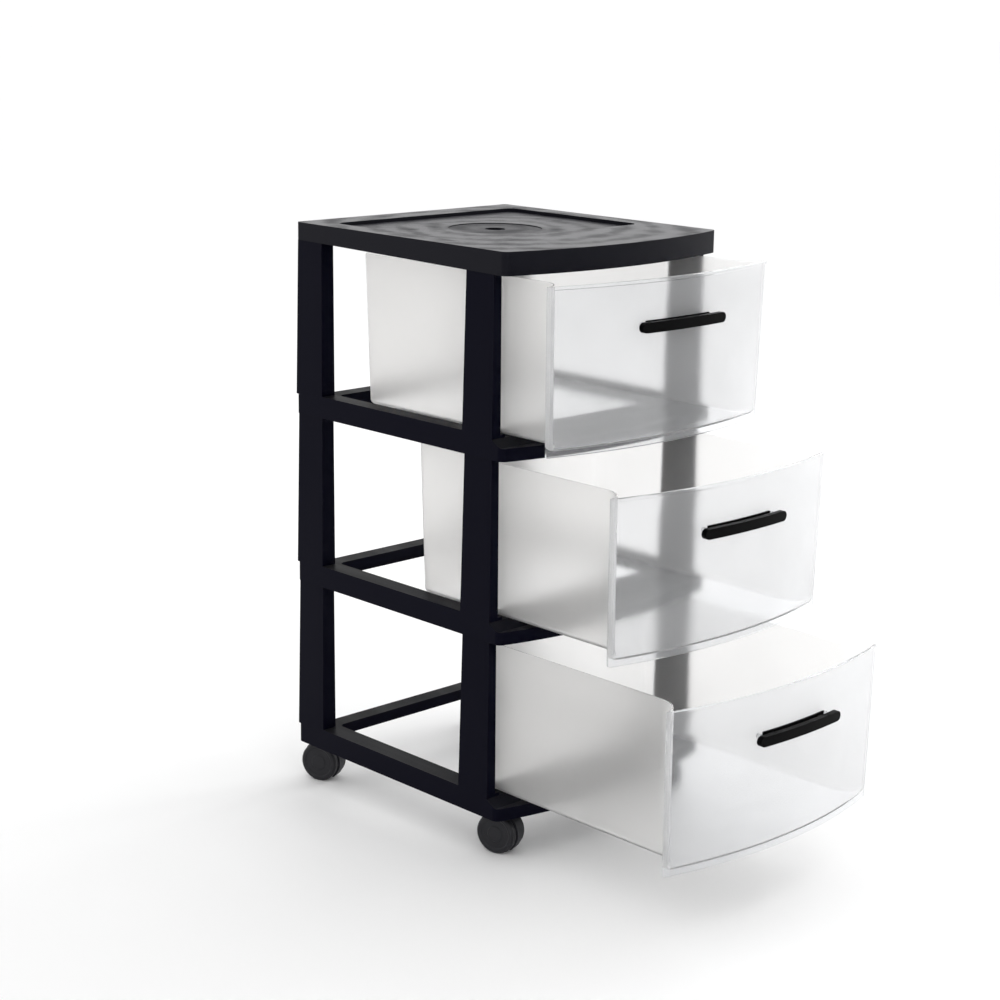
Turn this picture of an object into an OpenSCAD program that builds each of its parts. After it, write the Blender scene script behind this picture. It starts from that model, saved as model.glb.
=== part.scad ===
// Three-tier rolling storage cart: a black moulded frame on twin-wheel swivel casters,
// with three translucent drawers that slide on the tier rails.
// Millimetres, +Z up, drawers open towards -Y, floor at Z = 0.

/* [Frame] */
// Height of the table top above the floor
total_h = 640; // [600:1:680]
// Width over the tier rails
frame_w = 316; // [290:1:330]
// Width of the table top
table_w = 314; // [285:1:325]
// Distance from the front face of the front posts to the back of the frame
frame_d = 313; // [290:1:340]
// Height from one tier to the next
tier_pitch = 191.5; // [180:0.5:195]
// Height of the rail skirt
skirt_h = 24; // [20:0.5:28]
// Wall thickness of the frame mouldings
frame_wall = 2.5; // [2:0.1:3]
// Width of a side rail
side_rail_w = 29.5; // [28:0.5:34]
// Amount by which the front edges bow forward
front_bow = 23; // [10:1:30]

/* [Posts] */
// Depth of a post, along the side of the cart
post_depth = 44; // [36:1:50]
// Width of a rear post, across the cart
rear_post_w = 18; // [12:0.5:18]
// Width of a front post, across the cart
front_post_w = 12; // [9:0.5:13]
// Taper of each post's outer face over its height
post_taper = 2; // [1.6:0.1:3]
// Length of post that plugs into the moulding above
plug_h = 9; // [5:0.5:10]

/* [Table top] */
// Depth of the recess in the table top
recess_depth = 4; // [2:0.5:5]
// Width of the rim beside the recess
recess_rim = 25; // [15:1:35]
// Radius of the round dish in the recess
dish_r = 51; // [30:1:60]
// Radius of the dimple in the middle of the dish
dimple_r = 11; // [5:1:14]

/* [Drawers] */
// Width of the drawer body
drawer_w = 272; // [260:1:276]
// Height of the drawer walls
drawer_h = 162.5; // [150:0.5:163]
// Width of the drawer front at its top edge
drawer_front_w = 324; // [310:1:326]
// Wall thickness of the drawers
drawer_wall = 2; // [1.6:0.1:2.4]
// How far the top drawer stands open
open_top = 62; // [0:1:180]
// How far the middle drawer stands open
open_mid = 152; // [0:1:220]
// How far the bottom drawer stands open
open_low = 232; // [200:1:250]

/* [Handles] */
// Length of the handle bar
handle_l = 124; // [100:1:150]
// Height of the handle bar
handle_h = 10.5; // [8:0.5:12]
// How far the handle bar stands out from the drawer front
handle_reach = 13.5; // [13:0.5:22]
// Height of the bar's centre below the top of the drawer front
handle_drop = 46; // [40:1:70]

/* [Casters] */
// Radius of a caster wheel
wheel_r = 22; // [18:0.5:22]
// Width of one wheel of the pair
wheel_w = 8.5; // [7:0.5:10]
// Distance from the swivel axis to the wheel axle
caster_trail = 10; // [6:0.5:11]
// Turn of the front casters about their stems at rest
front_caster_turn = 18; // [-45:1:45]
// Turn of the rear casters about their stems at rest
rear_caster_turn = 202; // [135:1:225]

/* [Hidden] */
$fn = 96;
eps = 0.01;

// Levels of the mouldings
rail_z = [for (i = [0 : 2]) total_h - 19 - (3 - i) * tier_pitch]; // underside of each tier's skirt
table_z = total_h - 19;                 // underside of the table skirt at the back
table_front_z = table_z - 5;            // and at the front
rail_top = skirt_h;                     // rail top above its skirt's underside
tread_drop = 3;                         // runner for the drawer, below the rail's top
lip_drop = 10.5;                        // front lip's top edge, below the rail's top
inner_lip_h = 12;
dish_y = 12;
dimple_depth = 7;
plug_gap = 0.15;                        // clearance round the plugs of the posts
front_corner_r = 8;
rear_corner_r = 5;

// Plan of the mouldings, with the middle of the frame's depth near Y = 0
back_y = 160;
post_front_y = back_y - frame_d;
lip_corner_y = post_front_y - 14;       // front corners of the rails and of the table
back_rail_front_y = back_y - 37;
back_rail_back_y = back_y - 17;
front_rail_back_y = post_front_y + 28;
guide_x = drawer_w / 2 + 3;             // shoulders that guide the drawer sideways

// Drawer, closed, in the same plan
drawer_back_y = 134.5;
flare_y = -139.5;                       // where the side walls begin to flare
front_end_y = lip_corner_y - 3.5;       // ends of the bowed front panel
flare_dx = (drawer_front_w - drawer_w) / 2;
flare_dy = flare_y - front_end_y;
flare_r = (pow(flare_dx, 2) + pow(flare_dy, 2)) / (2 * flare_dx);
panel_r = (pow(drawer_front_w / 2, 2) + pow(front_bow, 2)) / (2 * front_bow);
panel_cy = front_end_y - front_bow + panel_r;
panel_hang = 6.5;                       // front panel below the drawer's underside
panel_rake = 3;                         // set-back of the panel's lower edge
panel_taper = 3.5;                      // narrowing of the panel towards its lower edge
panel_lip = 1.5;
drawer_gap = 0.4;                       // clearance under the drawer
drawer_z = [for (z = rail_z) z + rail_top - tread_drop + drawer_gap];
drawer_open = [open_low, open_mid, open_top];

// Casters
caster_x = 130;
caster_y = [-133, 135.5];
axle_r = 3;
stem_r = 4;
run_gap = 0.05;
web_w = 10;
hood_r = wheel_r + 1.5;
wheel_gap = 0.5;
hood_top = rail_z[0] - 0.4;
collar_z = 2 * wheel_r + 0.3;           // collar under the rail, above the wheels
plug_z = rail_z[0] + 1;
plug_top = rail_z[0] + rail_top - tread_drop - frame_wall - 0.2;

// The row's origin is on the floor, below the middle of the whole outline
front_reach = max(drawer_open) - front_end_y + front_bow + handle_reach;
rear_reach = caster_y[1] + (caster_trail + wheel_r) * cos(180 - rear_caster_turn)
    + (web_w / 2 + wheel_gap + wheel_w - 2) * abs(sin(rear_caster_turn));
row_y = (front_reach - rear_reach) / 2;

CORNERS = [
    ["front_left", -1, 0],
    ["front_right", 1, 0],
    ["rear_left", -1, 1],
    ["rear_right", 1, 1]
];
TIERS = ["lower", "middle", "upper"];
SIDES = [["near", -1], ["far", 1]];

function turn(c) = c[1] * (c[2] == 0 ? -front_caster_turn : 180 - rear_caster_turn) + c[2] * 180;

// Rectangle from x0..x1 and y0..y1 with round corners
module round_rect(x0, x1, y0, y1, r) {
    translate([x0 + r, y0]) square([x1 - x0 - 2 * r, y1 - y0]);
    translate([x0, y0 + r]) square([x1 - x0, y1 - y0 - 2 * r]);
    for (x = [x0 + r, x1 - r], y = [y0 + r, y1 - r])
        translate([x, y]) circle(r);
}

// Plan of a moulding: straight sides and back, bowed front; grow < 0 moves every edge inwards
module bowed_plan(w, grow = 0) {
    half = w / 2;
    arc_r = (pow(half, 2) + pow(front_bow, 2)) / (2 * front_bow);
    arc_y = lip_corner_y - front_bow + arc_r;
    corner_x = half - front_corner_r;
    corner_y = arc_y - sqrt(pow(arc_r - front_corner_r, 2) - pow(corner_x, 2));
    tangent_x = corner_x * arc_r / (arc_r - front_corner_r);
    intersection() {
        round_rect(-half - grow, half + grow, arc_y - arc_r - 20, back_y + grow, rear_corner_r + grow);
        translate([0, arc_y]) circle(arc_r + grow);
        union() {
            translate([-w, corner_y]) square([2 * w, 2 * frame_d]);
            translate([-tangent_x, arc_y - arc_r - 20]) square([2 * tangent_x, 2 * frame_d]);
            for (x = [-corner_x, corner_x])
                translate([x, corner_y]) circle(front_corner_r + grow);
        }
    }
}

// Prism along Y from a profile drawn in X and Z
module along_y(y0, y1) {
    translate([0, y1, 0]) rotate([90, 0, 0]) linear_extrude(y1 - y0) children();
}

// Prism along X from a profile drawn in Y and Z
module along_x(x0, x1) {
    translate([x0, 0, 0]) rotate([90, 0, 90]) linear_extrude(x1 - x0) children();
}

// Solid of one left-hand post, tapered towards its top; shrink > 0 draws the hollow inside it
module post_solid(w, y0, y1, z0, z1, shrink = 0) {
    x = -frame_w / 2;
    lean = post_taper;
    intersection() {
        along_y(y0, y1)
            polygon([[x + shrink, z0], [x + w, z0], [x + w, z1], [x + shrink + lean, z1]]);
        along_x(x, x + w)
            polygon([
                [y0 + shrink, z0],
                [y1 - shrink, z0],
                [y1 - shrink - lean, z1],
                [y0 + shrink + lean, z1]
            ]);
    }
}

// Channel-shaped post, open towards the middle of the cart
module post(w, y0, y1, z0, z1) {
    difference() {
        post_solid(w, y0, y1, z0, z1);
        translate([frame_wall, 0, -eps]) post_solid(w, y0, y1, z0, z1 + 2 * eps, frame_wall);
    }
}

// The four posts of tier i, with their plugs drawn to fit the moulding above
module posts(i) {
    z0 = rail_z[i] + rail_top - frame_wall;
    z1 = rail_z[i] + tier_pitch + plug_h;
    intersection() {
        for (m = [0, 1])
            mirror([m, 0, 0]) {
                post(rear_post_w, back_y - post_depth, back_y, z0, z1);
                post(front_post_w, post_front_y, post_front_y + post_depth, z0, z1);
            }
        union() {
            translate([0, 0, -plug_gap]) below_moulding(i + 1);
            linear_extrude(total_h) bowed_plan(i == 2 ? table_w : frame_w, -frame_wall - plug_gap);
        }
    }
}

// Everything below the underside of moulding i: the tiers are 0 to 2 and the table top is 3
module below_moulding(i) {
    if (i == 3)
        along_x(-frame_w, frame_w)
            polygon([
                [back_y + 10, 0],
                [back_y + 10, table_z],
                [back_y - 1, table_z],
                [lip_corner_y + 8, table_front_z],
                [lip_corner_y + 8, 0]
            ]);
    else
        translate([-frame_w, -frame_d, 0]) cube([2 * frame_w, 2 * frame_d, rail_z[i]]);
}

// Plan of a tier: rails round an open middle, with the back rail set in between the rear posts
module tier_plan(grow = 0) {
    difference() {
        bowed_plan(frame_w, grow);
        tier_opening(-grow);
        back_notch(-grow);
    }
}

module tier_opening(grow = 0) {
    x = frame_w / 2 - side_rail_w + grow;
    round_rect(-x, x, front_rail_back_y - grow, back_rail_front_y + grow, 6);
}

module back_notch(grow = 0) {
    x = frame_w / 2 - side_rail_w + 4 + grow;
    translate([-x, back_rail_back_y - grow]) square([2 * x, 60]);
}

// Room above the runners and above the sloping front lip; grow > 0 leaves a wall below and beside it
module tier_top_cut(z, grow = 0) {
    top = z + rail_top;
    x = guide_x + grow;
    translate([-x, lip_corner_y - 60, top - tread_drop - grow])
        cube([2 * x, back_y - lip_corner_y + 61, 40]);
    along_x(-frame_w, frame_w)
        polygon([
            [post_front_y + 1 + grow, top + 40],
            [post_front_y + 1 + grow, top - tread_drop - grow],
            [lip_corner_y + 2 + grow / 2, top - lip_drop - grow],
            [lip_corner_y - 60, top - lip_drop - grow],
            [lip_corner_y - 60, top + 40]
        ]);
}

// Rails of a tier: top flange, deep outer skirt and short inner lip, open underneath
module rails(z) {
    difference() {
        translate([0, 0, z]) linear_extrude(rail_top) tier_plan();
        tier_top_cut(z);
        difference() {
            translate([0, 0, z - eps])
                linear_extrude(rail_top - frame_wall + eps) tier_plan(-frame_wall);
            tier_top_cut(z, frame_wall);
        }
        translate([0, 0, z - eps]) linear_extrude(rail_top - frame_wall - inner_lip_h) difference() {
            tier_opening(frame_wall + 1);
            translate([-frame_w, back_rail_front_y + frame_wall]) square([2 * frame_w, 40]);
        }
    }
}

module tier(i) {
    color([0.06, 0.065, 0.075]) {
        rails(rail_z[i]);
        posts(i);
    }
}

// Table top: skirted shell with a recessed panel and a shallow round dish
module table_top() {
    skirt = total_h - table_front_z;
    floor_z = total_h - recess_depth;
    color([0.06, 0.065, 0.075])
        difference() {
            union() {
                difference() {
                    translate([0, 0, total_h - skirt]) linear_extrude(skirt) bowed_plan(table_w);
                    translate([0, 0, total_h - skirt - eps])
                        linear_extrude(skirt - frame_wall + eps) bowed_plan(table_w, -frame_wall);
                }
                translate([0, 0, floor_z - frame_wall])
                    linear_extrude(recess_depth + 1) table_recess(frame_wall);
                translate([0, dish_y, floor_z - dimple_depth - frame_wall])
                    cylinder(h = dimple_depth + 1, r = dimple_r + frame_wall);
            }
            translate([0, 0, floor_z]) linear_extrude(recess_depth + 1) table_recess();
            translate([0, dish_y, floor_z - 0.8]) cylinder(h = 2, r = dish_r);
            translate([0, dish_y, floor_z - dimple_depth]) cylinder(h = 20, r = dimple_r);
            below_moulding(3);
        }
}

module table_recess(grow = 0) {
    x = table_w / 2 - recess_rim + grow;
    round_rect(-x, x, -78 - grow, 124 + grow, 12 + grow);
}

// Plan of the drawer's flare on the right-hand side: a quarter curve out to the panel's end
module flare_plan() {
    intersection() {
        difference() {
            translate([drawer_w / 2 + flare_r - drawer_wall, flare_y]) circle(flare_r);
            translate([drawer_w / 2 + flare_r - drawer_wall, flare_y]) circle(flare_r - drawer_wall);
        }
        translate([drawer_w / 2 - drawer_wall, flare_y - flare_dy - 2])
            square([flare_dx + drawer_wall, flare_dy + 2]);
        translate([0, panel_cy]) circle(panel_r - drawer_wall / 2);
    }
}

// Plan of the drawer's floor
module floor_plan() {
    intersection() {
        translate([0, panel_cy]) circle(panel_r - drawer_wall / 2 - panel_rake);
        union() {
            translate([-drawer_w / 2, front_end_y - front_bow])
                square([drawer_w, drawer_back_y - front_end_y + front_bow]);
            for (m = [0, 1])
                mirror([m, 0])
                    difference() {
                        translate([drawer_w / 2 - 1, flare_y - flare_dy - 2])
                            square([flare_dx, flare_dy + 2]);
                        translate([drawer_w / 2 + flare_r - drawer_wall, flare_y])
                            circle(flare_r - drawer_wall);
                    }
        }
    }
}

// Bowed, slightly raked front panel with a thicker top edge
module front_panel(z) {
    h = drawer_h + panel_hang;
    intersection() {
        translate([0, panel_cy, z - panel_hang]) difference() {
            union() {
                cylinder(h = h, r1 = panel_r - panel_rake, r2 = panel_r);
                translate([0, 0, h - 2.5]) cylinder(h = 2.5, r = panel_r + panel_lip);
            }
            translate([0, 0, -eps])
                cylinder(
                    h = h + 2 * eps,
                    r1 = panel_r - panel_rake - drawer_wall,
                    r2 = panel_r - drawer_wall
                );
        }
        translate([-frame_w, front_end_y - front_bow - 10, z - 20])
            cube([2 * frame_w, front_bow + 14, drawer_h + 40]);
    }
}

// Bosses that hold the ends of the handle
module handle_bosses(z) {
    for (m = [0, 1])
        mirror([m, 0, 0])
            intersection() {
                translate([51, front_end_y - 2, z + drawer_h - handle_drop + 1.5]) rotate([90, 0, 0])
                    cylinder(h = 40, r = 2.5);
                translate([0, panel_cy, z]) difference() {
                    cylinder(h = drawer_h, r = panel_r + 4);
                    translate([0, 0, -eps])
                        cylinder(h = drawer_h + 2 * eps, r = panel_r - panel_rake / 2);
                }
            }
}

module drawer_closed(z) {
    back = drawer_back_y;
    intersection() {
        union() {
            for (m = [0, 1])
                mirror([m, 0, 0]) {
                    translate([drawer_w / 2 - drawer_wall, flare_y, z])
                        cube([drawer_wall, back - flare_y, drawer_h]);
                    translate([0, 0, z]) linear_extrude(drawer_h) flare_plan();
                }
            translate([0, 0, z]) linear_extrude(drawer_wall) floor_plan();
            translate([-drawer_w / 2, back - drawer_wall, z])
                cube([drawer_w, drawer_wall, drawer_h]);
            front_panel(z);
            handle_bosses(z);
        }
        along_y(front_end_y - 60, back + 1)
            polygon([
                [-drawer_front_w / 2 + panel_taper, z - panel_hang],
                [drawer_front_w / 2 - panel_taper, z - panel_hang],
                [drawer_front_w / 2, z + drawer_h],
                [-drawer_front_w / 2, z + drawer_h]
            ]);
    }
}

module drawer(i) {
    color([0.92, 0.93, 0.93, 0.45])
        translate([0, -drawer_open[i], 0]) drawer_closed(drawer_z[i]);
}

// Bowed bar on a shorter strip that lies against the drawer front
module handle(i) {
    bar_z = drawer_z[i] + drawer_h - handle_drop;
    strip_r = panel_r + 0.4;
    bar_r = panel_r + handle_reach;
    color([0.02, 0.02, 0.022])
        translate([0, -drawer_open[i], 0]) {
            intersection() {
                translate([0, panel_cy, bar_z - handle_h / 2]) difference() {
                    cylinder(h = handle_h, r = bar_r);
                    translate([0, 0, -eps]) cylinder(h = handle_h + 2 * eps, r = bar_r - 6);
                }
                along_y(front_end_y - 80, front_end_y)
                    handle_outline(handle_l, handle_h, bar_z);
            }
            intersection() {
                translate([0, panel_cy, bar_z - handle_h]) difference() {
                    cylinder(h = 2 * handle_h, r = strip_r + 2.2);
                    translate([0, 0, -eps]) cylinder(h = 2 * handle_h + 2 * eps, r = strip_r);
                }
                along_y(front_end_y - 80, front_end_y)
                    translate([-47, bar_z - handle_h / 2]) square([94, handle_h]);
            }
            for (m = [0, 1])
                mirror([m, 0, 0])
                    intersection() {
                        translate([34, front_end_y - 80, bar_z - handle_h / 2 + 2])
                            cube([9, 80, handle_h - 4]);
                        translate([0, panel_cy, bar_z - handle_h]) difference() {
                            cylinder(h = 2 * handle_h, r = bar_r - 3);
                            translate([0, 0, -eps])
                                cylinder(h = 2 * handle_h + 2 * eps, r = strip_r + 1);
                        }
                    }
        }
}

module handle_outline(l, h, z) {
    translate([-l / 2 + h / 2, z - h / 2]) square([l - h, h]);
    for (x = [-l / 2 + h / 2, l / 2 - h / 2])
        translate([x, z]) circle(h / 2);
}

module at_corner(c) {
    translate([c[1] * caster_x, caster_y[c[2]], 0]) children();
}

// Block pushed up into the bottom tier's corner, bored for the stem
module caster_plug(c) {
    color([0.09, 0.09, 0.1])
        difference() {
            translate([0, 0, plug_z]) linear_extrude(plug_top - plug_z) intersection() {
                tier_plan(-frame_wall - 0.2);
                at_corner(c) square([26, 30], center = true);
            }
            at_corner(c)
                translate([0, 0, plug_z - 1]) cylinder(h = plug_top - plug_z - 2, r = stem_r + 0.02);
        }
}

module caster_stem(c) {
    color([0.7, 0.7, 0.72])
        at_corner(c)
            translate([0, 0, hood_top - 9]) cylinder(h = plug_top - hood_top + 5, r = stem_r);
}

// Turns a caster, drawn rolling along -Y with its stem on the Z axis, to its rest heading
module caster_heading(c) {
    at_corner(c) rotate([0, 0, turn(c)]) children();
}

module along_axle(h, r, x0) {
    translate([x0, -caster_trail, wheel_r]) rotate([0, 90, 0]) cylinder(h = h, r = r);
}

// Hood between the wheels, with the boss that turns on the stem
module caster_hood(c) {
    color([0.12, 0.12, 0.13])
        caster_heading(c)
            difference() {
                union() {
                    along_axle(web_w, hood_r, -web_w / 2);
                    translate([0, 0, hood_top - 12]) intersection() {
                        cylinder(h = 12, r = 8);
                        translate([-web_w / 2, -10, 0]) cube([web_w, 20, 12]);
                    }
                    translate([0, 0, collar_z]) cylinder(h = hood_top - collar_z, r = 8);
                }
                along_axle(web_w + 2, axle_r + 0.01, -web_w / 2 - 1);
                translate([0, 0, hood_top - 11]) cylinder(h = 12, r = stem_r + run_gap);
                translate([-20, -caster_trail - 40, -5]) cube([40, 80, 9]);
            }
}

module caster_axle(c) {
    color([0.7, 0.7, 0.72])
        caster_heading(c)
            along_axle(web_w + 2 * wheel_w - 2, axle_r, -web_w / 2 - wheel_w + 1);
}

module wheel(c, side) {
    x0 = web_w / 2 + wheel_gap;
    color([0.1, 0.1, 0.11])
        caster_heading(c)
            translate([0, -caster_trail, wheel_r])
                rotate([0, side * 90, 0])
                    rotate_extrude()
                        polygon([
                            [axle_r + run_gap, x0],
                            [wheel_r - 1.2, x0],
                            [wheel_r, x0 + 1.2],
                            [wheel_r, x0 + wheel_w - 2],
                            [wheel_r - 2, x0 + wheel_w],
                            [wheel_r - 5, x0 + wheel_w],
                            [wheel_r - 6, x0 + wheel_w - 1],
                            [axle_r + 6, x0 + wheel_w - 1],
                            [axle_r + 5, x0 + wheel_w],
                            [0, x0 + wheel_w],
                            [0, x0 + wheel_w - 1],
                            [axle_r + run_gap, x0 + wheel_w - 1]
                        ]);
}

translate([0, row_y, 0]) {
    table_top();
    for (i = [0 : 2]) {
        tier(i);
        drawer(i);
        handle(i);
    }
    for (c = CORNERS) {
        caster_plug(c);
        caster_stem(c);
        caster_hood(c);
        caster_axle(c);
        for (s = SIDES)
            wheel(c, s[1]);
    }
}
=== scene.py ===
import math

import bmesh
import bpy
from mathutils import Matrix, Vector


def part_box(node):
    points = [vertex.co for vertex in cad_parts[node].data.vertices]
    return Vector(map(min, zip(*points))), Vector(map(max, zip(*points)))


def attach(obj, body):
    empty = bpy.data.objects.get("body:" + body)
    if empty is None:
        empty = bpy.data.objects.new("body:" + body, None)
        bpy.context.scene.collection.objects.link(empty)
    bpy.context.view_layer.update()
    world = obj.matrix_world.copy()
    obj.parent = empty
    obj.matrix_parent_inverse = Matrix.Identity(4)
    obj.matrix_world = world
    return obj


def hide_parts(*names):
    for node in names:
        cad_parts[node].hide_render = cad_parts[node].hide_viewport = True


# Rolling drawer cart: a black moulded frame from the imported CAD, with edges rounded here, and three
# frosted drawers built as thin moulded shells. Metres, the floor at z = 0, drawers open towards -Y.

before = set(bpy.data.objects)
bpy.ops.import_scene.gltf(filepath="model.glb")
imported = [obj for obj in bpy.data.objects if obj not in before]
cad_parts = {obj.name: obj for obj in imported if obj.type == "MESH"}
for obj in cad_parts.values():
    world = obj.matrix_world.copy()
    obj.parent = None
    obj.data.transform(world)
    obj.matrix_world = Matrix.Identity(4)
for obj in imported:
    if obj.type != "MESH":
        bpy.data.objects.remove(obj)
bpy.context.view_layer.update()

TIERS = ("lower", "middle", "upper")
CORNERS = ("front_left", "front_right", "rear_left", "rear_right")

# Where the cart's own origin lies in y: 160 mm in front of its back
CART_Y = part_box("tier_lower")[1].y - 0.160
TABLE_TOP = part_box("table_top")[1].z
DISH_CENTRE = (0, CART_Y + 0.012, TABLE_TOP - 0.005)
DISH_RADIUS = 0.051


# ---------------------------------------------------------------- materials

class Shader:
    """A material whose nodes are made and linked by short calls."""

    def __init__(self, name, **inputs):
        self.material = bpy.data.materials.new(name)
        self.material.use_nodes = True
        self.tree = self.material.node_tree
        self.bsdf = self.tree.nodes["Principled BSDF"]
        for key, value in inputs.items():
            self.bsdf.inputs[key.replace("_", " ")].default_value = value

    def add(self, kind, **settings):
        node = self.tree.nodes.new(kind)
        for key, value in settings.items():
            setattr(node, key, value)
        return node

    def link(self, output, target):
        self.tree.links.new(output, target)

    def place(self, scale=(1, 1, 1)):
        """Position on the object in metres, stretched by scale."""
        where = self.add("ShaderNodeTexCoord")
        mapping = self.add("ShaderNodeMapping")
        mapping.inputs["Scale"].default_value = scale
        self.link(where.outputs["Object"], mapping.inputs["Vector"])
        return mapping.outputs["Vector"]

    def noise(self, scale, detail=3.0, stretch=(1, 1, 1), roughness=0.5):
        node = self.add("ShaderNodeTexNoise")
        node.inputs["Scale"].default_value = scale
        node.inputs["Detail"].default_value = detail
        node.inputs["Roughness"].default_value = roughness
        self.link(self.place(stretch), node.inputs["Vector"])
        return node.outputs["Fac"]

    def ramp(self, fac, low, high, start=0.35, end=0.65):
        """Maps a 0..1 value to a colour between low and high."""
        node = self.add("ShaderNodeValToRGB")
        node.color_ramp.elements[0].position = start
        node.color_ramp.elements[1].position = end
        node.color_ramp.elements[0].color = low
        node.color_ramp.elements[1].color = high
        self.link(fac, node.inputs["Fac"])
        return node.outputs["Color"]

    def span(self, fac, low, high, start=0.3, end=0.7):
        """Maps a value from start..end to low..high."""
        node = self.add("ShaderNodeMapRange")
        node.inputs["From Min"].default_value = start
        node.inputs["From Max"].default_value = end
        node.inputs["To Min"].default_value = low
        node.inputs["To Max"].default_value = high
        self.link(fac, node.inputs["Value"])
        return node.outputs["Result"]

    def bump(self, height, strength, distance, below=None):
        node = self.add("ShaderNodeBump")
        node.inputs["Strength"].default_value = strength
        node.inputs["Distance"].default_value = distance
        self.link(height, node.inputs["Height"])
        if below is not None:
            self.link(below, node.inputs["Normal"])
        return node.outputs["Normal"]

    def upward(self):
        """1 on faces that look up, 0 on the others."""
        geometry = self.add("ShaderNodeNewGeometry")
        axes = self.add("ShaderNodeSeparateXYZ")
        self.link(geometry.outputs["Normal"], axes.inputs["Vector"])
        return self.span(axes.outputs["Z"], 0, 1, 0.6, 0.95)

    def times(self, a, b):
        node = self.add("ShaderNodeMath", operation="MULTIPLY")
        self.link(a, node.inputs[0])
        self.link(b, node.inputs[1])
        return node.outputs["Value"]


def grey(value, blue=1.0):
    return (value, value, value * blue, 1)


def moulded_plastic(name, base, roughness, gloss=0.16, grain=1.0, sheen_gain=1.25, blue=1.25):
    """Moulded polypropylene: fine grain, uneven gloss, faint flow marks, and tops painted paler by a
    patchy sheen on upward faces.

    The next-to-last argument is how many times paler that painted sheen makes the tops, and blue is
    the cast of the colour.
    """
    s = Shader(name, IOR=1.45, Specular_IOR_Level=gloss)
    patches = s.noise(9, 4)
    streaks = s.noise(40, 3, stretch=(1, 0.12, 0.2))
    # Painted sheen: upward faces are painted paler in patches, for the light their tops catch
    painted_top_sheen = s.times(s.span(patches, 0.4, 1, 0.35, 0.65), s.upward())
    colour = s.ramp(painted_top_sheen, grey(base, blue), grey(base * sheen_gain, 1.1), 0.0, 1.0)
    s.link(colour, s.bsdf.inputs["Base Color"])
    s.link(s.span(streaks, roughness - 0.07, roughness + 0.07), s.bsdf.inputs["Roughness"])
    fine = s.bump(s.noise(2600, 2), 0.22 * grain, 0.0002)
    s.link(s.bump(patches, 0.06 * grain, 0.002, fine), s.bsdf.inputs["Normal"])
    return s.material


def table_black(centre):
    """The table's moulding: flow marks that circle the gate at the dish's centre, with a cloudy sheen
    painted paler into the colour of upward faces and painted shade inside the dish.
    """
    s = Shader("table_black", IOR=1.45, Specular_IOR_Level=0.12)
    offset = s.add("ShaderNodeVectorMath", operation="SUBTRACT")
    offset.inputs[1].default_value = centre
    s.link(s.place(), offset.inputs[0])
    distance = s.add("ShaderNodeVectorMath", operation="LENGTH")
    s.link(offset.outputs["Vector"], distance.inputs[0])
    clouds = s.noise(34, 6, roughness=0.65)
    rings = s.add("ShaderNodeTexWave", wave_type="RINGS", rings_direction="SPHERICAL")
    rings.inputs["Scale"].default_value = 9
    rings.inputs["Distortion"].default_value = 5
    rings.inputs["Detail"].default_value = 3
    s.link(offset.outputs["Vector"], rings.inputs["Vector"])
    # Painted shade: the painted sheen is weaker inside the dish
    dish_painted_shade = s.span(distance.outputs["Value"], 0.62, 1.0, DISH_RADIUS - 0.002, DISH_RADIUS + 0.006)
    marks = s.add("ShaderNodeMath", operation="MULTIPLY_ADD")
    s.link(rings.outputs["Fac"], marks.inputs[0])
    marks.inputs[1].default_value = 0.25
    s.link(clouds, marks.inputs[2])
    # Painted sheen: upward faces are painted paler along the flow marks
    sheen = s.times(s.times(marks.outputs["Value"], dish_painted_shade), s.upward())
    colour = s.ramp(sheen, grey(0.003, 2.2), grey(0.07, 1.1), 0.2, 0.9)
    s.link(colour, s.bsdf.inputs["Base Color"])
    s.link(s.span(sheen, 0.5, 0.3), s.bsdf.inputs["Roughness"])
    fine = s.bump(s.noise(2200, 2), 0.3, 0.0002)
    s.link(s.bump(marks.outputs["Value"], 0.16, 0.0014, fine), s.bsdf.inputs["Normal"])
    return s.material


def clear_plastic(name, tint, haze, clarity):
    """Thin translucent polypropylene.

    haze spreads the light that passes, and clarity is the share of the light that passes.
    """
    s = Shader(name, IOR=1.15, Specular_IOR_Level=0.5)
    cloud = s.noise(5, 4, roughness=0.6)
    drawn = s.noise(60, 4, stretch=(1, 1, 0.08), roughness=0.6)
    dim = [value * 0.97 for value in tint]
    vary = 0.03
    s.link(s.ramp(cloud, (*dim, 1), (*tint, 1)), s.bsdf.inputs["Base Color"])
    s.link(s.span(cloud, clarity - vary, clarity + vary), s.bsdf.inputs["Transmission Weight"])
    s.link(s.span(drawn, haze - vary, haze + vary), s.bsdf.inputs["Roughness"])
    fine = s.bump(s.noise(1500, 2), 0.12, 0.0002)
    s.link(s.bump(drawn, 0.08, 0.001, fine), s.bsdf.inputs["Normal"])
    return s.material


def drawn_steel():
    """Drawn wire: fine marks along its length."""
    s = Shader("drawn_steel", Metallic=1.0)
    marks = s.noise(500, 2, stretch=(1, 1, 0.06))
    s.link(s.ramp(marks, grey(0.48), grey(0.62)), s.bsdf.inputs["Base Color"])
    s.link(s.span(marks, 0.25, 0.4), s.bsdf.inputs["Roughness"])
    return s.material


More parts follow.
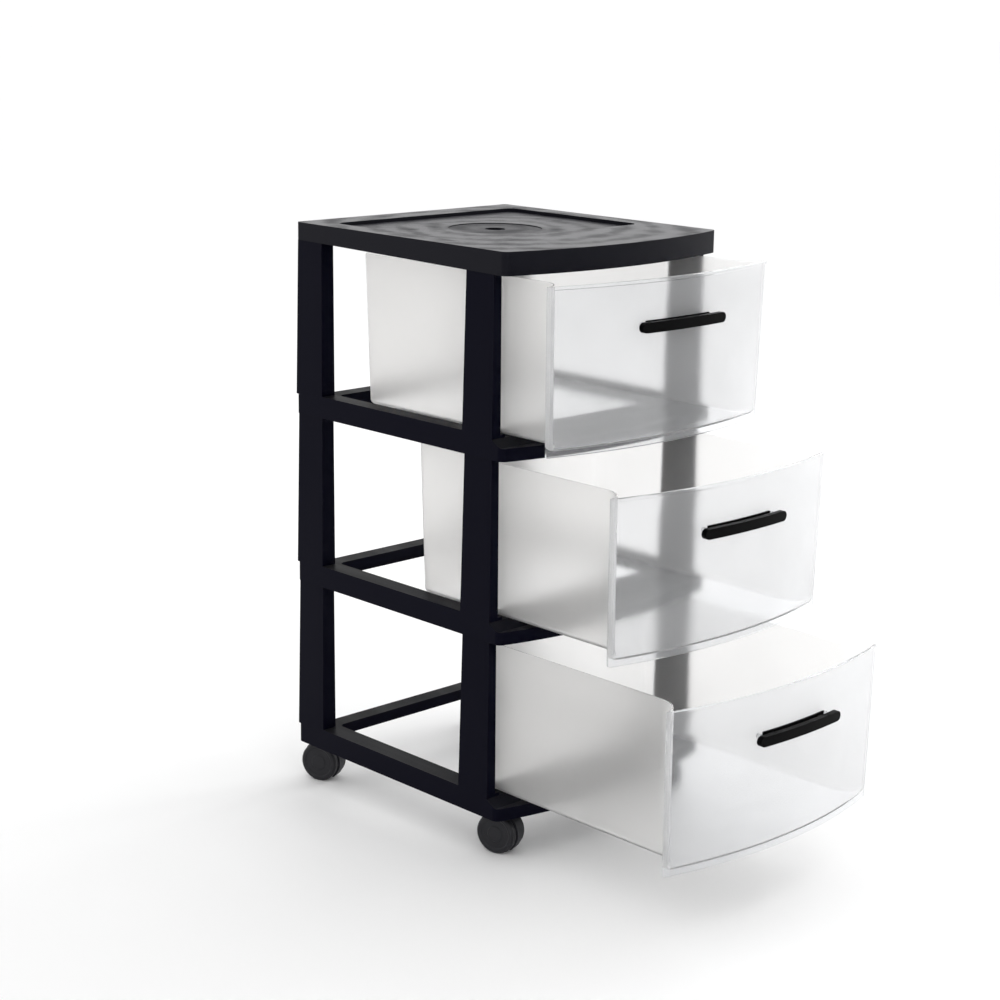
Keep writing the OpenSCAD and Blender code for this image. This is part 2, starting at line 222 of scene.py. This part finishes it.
MATERIALS = {
    # The frame's tops get a strong painted sheen, nine times paler than its black
    "frame_black": moulded_plastic("frame_black", 0.0016, 0.44, gloss=0.045, sheen_gain=9, blue=4),
    "table_black": table_black(DISH_CENTRE),
    "handle_black": moulded_plastic("handle_black", 0.001, 0.33, gloss=0.04, grain=0.5),
    "plug_black": moulded_plastic("plug_black", 0.004, 0.6),
    "hood_grey": moulded_plastic("hood_grey", 0.018, 0.5, gloss=0.3),
    "wheel_grey": moulded_plastic("wheel_grey", 0.012, 0.46, gloss=0.3),
    "pin_steel": drawn_steel(),
    "drawer_side": clear_plastic("drawer_side", (0.962, 0.957, 0.95), 0.48, 0.84),
    "drawer_floor": clear_plastic("drawer_floor", (0.985, 0.985, 0.985), 0.15, 0.96),
    "drawer_front": clear_plastic("drawer_front", (0.93, 0.938, 0.952), 0.12, 0.88),
}


# ---------------------------------------------------------------- carried CAD nodes

def finish_node(name, material, edge, segments=3):
    """Gives a CAD node its material, and rounds its edges by edge metres."""
    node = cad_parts[name]
    node.data.materials.clear()
    node.data.materials.append(MATERIALS[material])
    weld = node.modifiers.new("weld", "WELD")
    weld.merge_threshold = 1e-5
    flat = node.modifiers.new("flat", "DECIMATE")
    flat.decimate_type = "DISSOLVE"
    flat.angle_limit = math.radians(0.5)
    bevel = node.modifiers.new("edges", "BEVEL")
    bevel.width = edge
    bevel.segments = segments
    bevel.limit_method = "ANGLE"
    bevel.angle_limit = math.radians(28)
    bevel.miter_outer = "MITER_ARC"
    bevel.harden_normals = True
    normals = node.modifiers.new("normals", "WEIGHTED_NORMAL")
    normals.keep_sharp = False


def finish_frame():
    finish_node("table_top", "table_black", 0.0016)
    for tier in TIERS:
        finish_node(f"tier_{tier}", "frame_black", 0.0007)
        finish_node(f"handle_{tier}", "handle_black", 0.0016, 4)
    for corner in CORNERS:
        finish_node(f"caster_plug_{corner}", "plug_black", 0.0008)
        finish_node(f"caster_stem_{corner}", "pin_steel", 0.0004)
        finish_node(f"caster_hood_{corner}", "hood_grey", 0.0006)
        finish_node(f"caster_axle_{corner}", "pin_steel", 0.0003)
        for side in ("near", "far"):
            finish_node(f"wheel_{corner}_{side}", "wheel_grey", 0.0005)


# ---------------------------------------------------------------- drawers

WALL = 0.002          # wall thickness
HANG = 0.0065         # front panel below the drawer's underside
BOW = 0.023           # bulge of the front panel
RAKE = 0.003          # set-back of the panel's lower edge
TAPER = 0.0035        # narrowing of the panel at its lower edge
FLARE_RUN = 0.031     # length over which the side walls flare
FLOOR_ROUND = 0.006   # radius between walls and floor
BACK_ROUND = 0.009    # radius of the rear corners, in plan
BACK_SLOPE = 0.006    # forward slope of the rear wall at its foot
DRAFT = 0.0025        # narrowing of the body at its foot
GUIDE_ROOM = 0.0015   # how much wider the walls' top edge is than the body in the CAD
BODY_HALF = 0.136     # half the width of the drawer's body in the CAD
RIM = WALL / 2        # radius of the walls' top edge
LIP = 0.0014          # top edge of the panel, proud of its face
LIP_HEIGHT = 0.003    # height of that edge
PANEL_CORNER = 0.0025  # radius of the panel's lower corners, seen from the front
NOSE = 0.0006         # chamfer of the panel's and the bosses' edges
BITE = 0.0003         # how far the walls and floor reach into the panel
SIDE_STEP = 0.0008    # set-back of the flared walls from the panel's ends
BOSS_PROUD = 0.0018   # how far the bosses stand out past the middle of the panel
BOSS_X = 0.051        # each boss from the middle, sideways
BOSS_RADIUS = 0.0025
BOSS_REACH = 0.0038   # length of a boss past the panel's face
BOSS_RISE = 0.0067    # a boss's axis above the handle's underside
DRAWER_FINISHES = ("drawer_side", "drawer_front", "drawer_floor")
QUARTER = [math.radians(15 * i) for i in range(7)]  # a right angle in steps


class DrawerShape:
    """Plan curves of one drawer at any height above its underside, from its CAD node's box."""

    def __init__(self, low, high):
        self.z = low.z + HANG
        self.height = high.z - self.z
        self.back = high.y
        self.half = high.x
        self.radius = (self.half ** 2 + BOW ** 2) / (2 * BOW)
        # The lowest y is that of the handle's bosses, a little proud of the panel's middle
        self.end_y = low.y + BOSS_PROUD + BOW
        self.centre_y = self.end_y - BOW + self.radius
        self.flare_y = self.end_y + FLARE_RUN

    def share(self, h):
        """Height as a share of the wall's, a little below 0 on the part of the panel that hangs."""
        return min(max(h / self.height, -HANG / self.height), 1)

    def panel_radius(self, h):
        return self.radius - RAKE * (1 - self.share(h))

    def panel_half(self, h):
        return self.half - TAPER * (1 - self.share(h))

    def panel_y(self, x, h, proud=0.0):
        return self.centre_y - math.sqrt((self.panel_radius(h) + proud) ** 2 - x ** 2)

    def wall_half(self, h):
        return BODY_HALF + GUIDE_ROOM - DRAFT * (1 - self.share(h))

    def flare(self, h, inset):
        """The arc on which the right-hand wall sweeps out to the panel."""
        side = self.wall_half(h)
        end = self.panel_half(h) - SIDE_STEP
        dx = end - side
        dy = self.flare_y - self.panel_y(end, h, -WALL)
        radius = (dx * dx + dy * dy) / (2 * dx)
        centre = Vector((side + radius, self.flare_y))

        def at(angle):
            return centre - Vector((math.cos(angle), math.sin(angle))) * (radius + inset)

        # Halve the angle's range until the arc ends in the panel
        low, high = 0.0, math.radians(100)
        for _ in range(40):
            middle = (low + high) / 2
            p = at(middle)
            if p.y > self.panel_y(p.x, h, BITE - WALL):
                low = middle
            else:
                high = middle
        return [at(low * i / 14) for i in range(15)]

    def half_outline(self, h, inset):
        """From the middle of the back round to the panel, on the right.

        It is the wall's outer face moved in by inset.
        """
        back = self.back - BACK_SLOPE * (1 - self.share(h)) - inset
        x = self.wall_half(h) - inset
        turn = max(BACK_ROUND - inset, 0.001)
        points = [Vector((x * u, back)) for u in (0, 0.35, 0.7)]
        points += [
            Vector((x - turn + turn * math.sin(a), back - turn + turn * math.cos(a)))
            for a in QUARTER
        ]
        start = back - turn
        points += [Vector((x, start + (self.flare_y - start) * u)) for u in (0.15, 0.4, 0.65, 0.85)]
        return points + self.flare(h, inset)

    def outline(self, h, inset):
        """The whole wall in plan, from the panel's left end round the back to its right end."""
        right = self.half_outline(h, inset)
        left = [Vector((-p.x, p.y)) for p in reversed(right[1:])]
        return [Vector((p.x, p.y, self.z + h)) for p in left + right]

    def wall_profile(self):
        """(inset, height) pairs up the outside of the wall, over its rim and down the inside."""
        top = self.height - RIM
        outer = FLOOR_ROUND
        inner = FLOOR_ROUND - WALL
        profile = [(outer - outer * math.sin(a), outer - outer * math.cos(a)) for a in QUARTER]
        levels = [outer + (top - outer) * i / 7 for i in range(1, 8)]
        profile += [(0, h) for h in levels]
        profile += [(RIM - RIM * math.cos(2 * a), top + RIM * math.sin(2 * a)) for a in QUARTER[1:]]
        profile += [(WALL, h) for h in reversed([outer] + levels[:-1])]
        profile += [
            (outer - inner * math.sin(a), outer - inner * math.cos(a)) for a in reversed(QUARTER[:-1])
        ]
        return profile


def grid_faces(bm, rows, closed=False):
    """Quads between rows of vertices; closed joins the last row to the first."""
    pairs = list(zip(rows, rows[1:]))
    if closed:
        pairs.append((rows[-1], rows[0]))
    for a, b in pairs:
        for i in range(len(a) - 1):
            bm.faces.new((a[i], a[i + 1], b[i + 1], b[i]))


def add_tub(bm, shape):
    """Walls and floor, open at the front, where the panel closes them."""
    rows = [
        [bm.verts.new(p) for p in shape.outline(h, inset)]
        for inset, h in shape.wall_profile()
    ]
    grid_faces(bm, rows)
    for end in (0, -1):
        bm.faces.new([row[end] for row in rows])
    # The floor's two faces, closed along the panel by a curved front edge
    edges = []
    for row in (rows[0], rows[-1]):
        a, b = row[-1].co, row[0].co
        h = a.z - shape.z
        xs = [a.x + (b.x - a.x) * i / 24 for i in range(1, 24)]
        front = [bm.verts.new((x, shape.panel_y(x, h, BITE - WALL), a.z)) for x in xs]
        edges.append([row[-1]] + front + [row[0]])
        bm.faces.new(row + front)
    grid_faces(bm, edges)


def add_panel(bm, shape):
    """The bowed front, with its thicker top edge and rounded lower corners."""
    top = shape.height
    plain = [(top - LIP_HEIGHT - 0.002) * i / 8 for i in range(1, 9)]
    low = [-HANG + PANEL_CORNER * u for u in (0.3, 0.6, 1.0)]
    profile = [(-NOSE, -HANG), (0, -HANG + NOSE)]
    profile += [(0, h) for h in low + plain]
    profile += [(LIP * 0.35, top - LIP_HEIGHT - NOSE), (LIP, top - LIP_HEIGHT)]
    profile += [(LIP, top - NOSE), (LIP - NOSE, top), (NOSE - WALL, top), (-WALL, top - NOSE)]
    profile += [(-WALL, h) for h in reversed(low + plain)]
    profile += [(-WALL, -HANG + NOSE), (NOSE - WALL, -HANG)]
    rows = []
    for proud, h in profile:
        half = shape.panel_half(h)
        below = max(PANEL_CORNER - (h + HANG), 0)
        half -= PANEL_CORNER - math.sqrt(max(PANEL_CORNER ** 2 - below ** 2, 0))
        xs = [half * math.sin(math.pi / 2 * i / 20) for i in range(-20, 21)]
        rows.append([bm.verts.new((x, shape.panel_y(x, h, proud), shape.z + h)) for x in xs])
    grid_faces(bm, rows, closed=True)
    for end in (0, -1):
        bm.faces.new([row[end] for row in rows])


def add_boss(bm, shape, handle_low, side):
    """A short round stub that holds one end of the handle's strip."""
    x = side * BOSS_X
    h = handle_low.z - shape.z + BOSS_RISE
    back = shape.panel_y(x, h, -WALL / 2)
    front = shape.panel_y(x, h, BOSS_REACH)
    rings = [(BOSS_RADIUS, back), (BOSS_RADIUS, front + NOSE), (BOSS_RADIUS - NOSE, front)]
    rows = []
    for r, y in rings:
        angles = [2 * math.pi * i / 20 for i in range(20)]
        ring = [bm.verts.new((x + r * math.cos(a), y, shape.z + h + r * math.sin(a))) for a in angles]
        rows.append(ring + ring[:1])
    grid_faces(bm, rows)
    for row in (rows[0], rows[-1]):
        bm.faces.new(row[:-1])


def make_drawer(tier):
    low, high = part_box(f"drawer_{tier}")
    shape = DrawerShape(low, high)
    bm = bmesh.new()
    add_tub(bm, shape)
    tub_faces = len(bm.faces)
    add_panel(bm, shape)
    for side in (-1, 1):
        add_boss(bm, shape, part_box(f"handle_{tier}")[0], side)
    bmesh.ops.recalc_face_normals(bm, faces=bm.faces)
    # The panel and bosses, the floor with other level faces, and the walls each have their finish
    for index, face in enumerate(bm.faces):
        if index >= tub_faces:
            finish = "drawer_front"
        elif abs(face.normal.z) > 0.9:
            finish = "drawer_floor"
        else:
            finish = "drawer_side"
        face.material_index = DRAWER_FINISHES.index(finish)
    mesh = bpy.data.meshes.new(f"drawer_shell_{tier}")
    bm.to_mesh(mesh)
    bm.free()
    for polygon in mesh.polygons:
        polygon.use_smooth = True
    mesh.set_sharp_from_angle(angle=math.radians(40))
    drawer = bpy.data.objects.new(f"drawer_shell_{tier}", mesh)
    bpy.context.scene.collection.objects.link(drawer)
    for finish in DRAWER_FINISHES:
        drawer.data.materials.append(MATERIALS[finish])
    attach(drawer, f"drawer_{tier}")
    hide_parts(f"drawer_{tier}")


# ---------------------------------------------------------------- stage, light and camera

def make_stage():
    bpy.ops.mesh.primitive_plane_add(size=60, location=(0, 0, 0))
    floor = bpy.context.object
    floor.name = "floor"
    s = Shader("floor_white", Roughness=0.6)
    s.bsdf.inputs["Base Color"].default_value = (0.97, 0.97, 0.97, 1)
    floor.data.materials.append(s.material)


def area_light(name, place, target, size, power):
    data = bpy.data.lights.new(name, "AREA")
    data.shape = "RECTANGLE"
    data.size, data.size_y = size
    data.energy = power
    light = bpy.data.objects.new(name, data)
    light.location = place
    aim = Vector(target) - Vector(place)
    light.rotation_mode = "QUATERNION"
    light.rotation_quaternion = aim.to_track_quat("-Z", "Y")
    bpy.context.scene.collection.objects.link(light)


def make_lights():
    world = bpy.data.worlds.new("studio")
    bpy.context.scene.world = world
    world.use_nodes = True
    nodes, links = world.node_tree.nodes, world.node_tree.links
    background = nodes["Background"]
    background.inputs["Color"].default_value = (1, 1, 1, 1)
    # White all round the horizon, dimmer overhead
    where = nodes.new("ShaderNodeTexCoord")
    axes = nodes.new("ShaderNodeSeparateXYZ")
    sky = nodes.new("ShaderNodeMapRange")
    sky.inputs["From Min"].default_value = 0.2
    sky.inputs["From Max"].default_value = 0.6
    sky.inputs["To Min"].default_value = 1.08
    sky.inputs["To Max"].default_value = 1.03
    links.new(where.outputs["Generated"], axes.inputs["Vector"])
    links.new(axes.outputs["Z"], sky.inputs["Value"])
    links.new(sky.outputs["Result"], background.inputs["Strength"])
    # The key light stands to the right of the cart and throws its shadow to the left
    area_light("key", place=(2.7, -0.1, 1.9), target=(0, 0, 0.3), size=(1.6, 1.6), power=34)


def make_camera():
    """The viewpoint: front left of the cart and a little above it, aimed by its own axes."""
    data = bpy.data.cameras.new("camera")
    data.lens = 76.65
    data.sensor_width = 36
    data.shift_x = -0.00145
    data.shift_y = -0.0233
    camera = bpy.data.objects.new("camera", data)
    bpy.context.scene.collection.objects.link(camera)
    right = Vector((0.72273, -0.69096, 0.01492))
    up = Vector((0.14723, 0.17502, 0.97349))
    back = right.cross(up).normalized()
    up = back.cross(right).normalized()
    place = Vector((-1.59378, CART_Y - 1.65900, 0.90061))
    rows = Matrix((right.normalized(), up, back)).transposed().to_4x4()
    camera.matrix_world = Matrix.Translation(place) @ rows
    bpy.context.scene.camera = camera


finish_frame()
for tier in TIERS:
    make_drawer(tier)
make_stage()
make_lights()
make_camera()
bpy.context.scene.view_settings.view_transform = "Standard"
